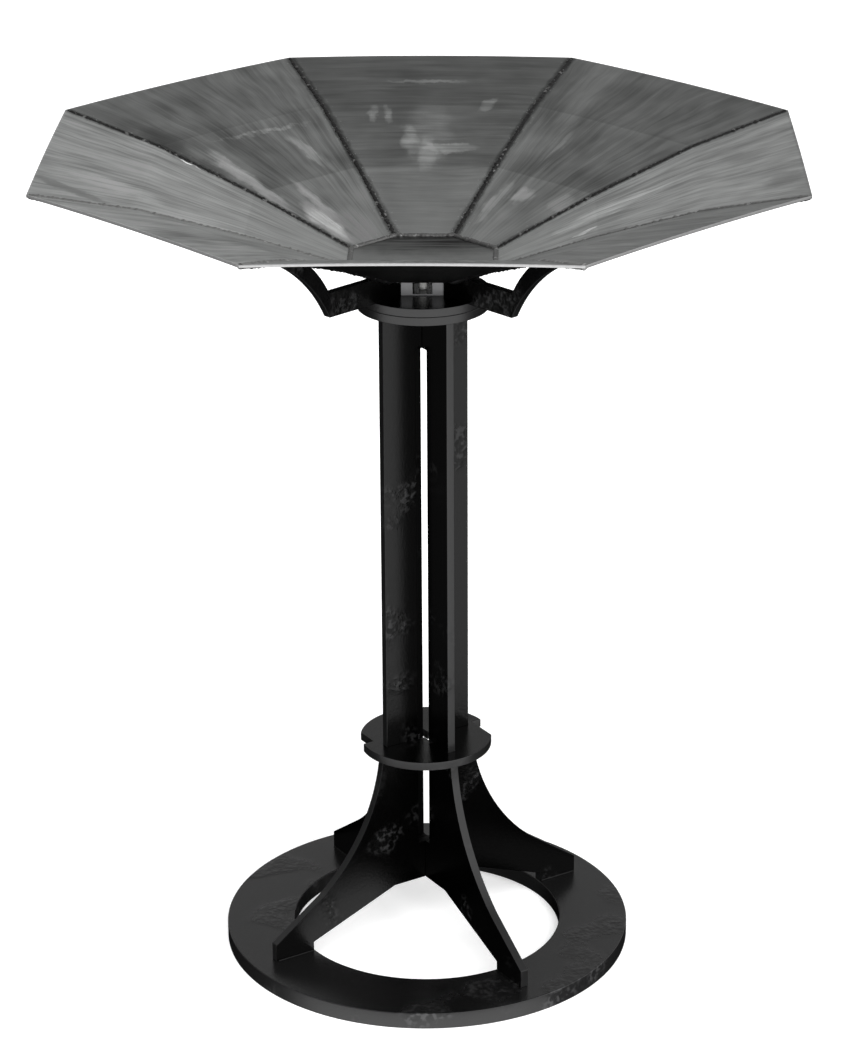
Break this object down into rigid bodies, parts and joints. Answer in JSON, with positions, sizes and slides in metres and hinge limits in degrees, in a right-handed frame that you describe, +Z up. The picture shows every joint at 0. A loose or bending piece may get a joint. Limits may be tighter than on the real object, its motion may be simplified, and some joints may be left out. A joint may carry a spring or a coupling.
{
  "type": "bird bath",
  "caption": "Octagonal folded stainless bowl on a black plate-steel pedestal with crossed column plates, flared legs and a flat base ring.",
  "frame": {"origin": "centre of the underside of the base ring, on the ground", "axes": "+Z up along the column's axis; the bowl's flat sides face X and Y; the pictured side faces -Y"},
  "size_m": [0.53, 0.53, 0.62],
  "materials": {
    "black_powder_coat": "satin black powder coat on plate steel",
    "brushed_stainless": "hand-ground and brushed stainless sheet",
    "zinc_fastener": "zinc-plated fastener"
  },
  "bodies": {
    "stand": {"base_ring": "black_powder_coat", "column_plate_a": "black_powder_coat", "column_plate_b": "black_powder_coat", "collar": "black_powder_coat", "column_disc": "black_powder_coat", "head_stud": "zinc_fastener", "stud_nut": "zinc_fastener"},
    "head": {"head_disc": "black_powder_coat", "hub_box": "black_powder_coat", "hub_cap": "black_powder_coat", "arm_front_left": "black_powder_coat", "arm_front_right": "black_powder_coat", "arm_back_left": "black_powder_coat", "arm_back_right": "black_powder_coat"},
    "bowl": {"bowl_floor": "brushed_stainless", "bowl_panel_right": "brushed_stainless", "bowl_panel_back_right": "brushed_stainless", "bowl_panel_back": "brushed_stainless", "bowl_panel_back_left": "brushed_stainless", "bowl_panel_left": "brushed_stainless", "bowl_panel_front_left": "brushed_stainless", "bowl_panel_front": "brushed_stainless", "bowl_panel_front_right": "brushed_stainless"}
  },
  "joints": [
    {"name": "head_swivel", "type": "hinge", "parent": "stand", "child": "head", "pos_m": [0, 0, 0.51075], "axis": [0, 0, 1], "continuous": true},
    {"name": "bowl_lift", "type": "slide", "parent": "head", "child": "bowl", "axis": [0, 0, 1], "range_m": [0, 0.15]}
  ]
}
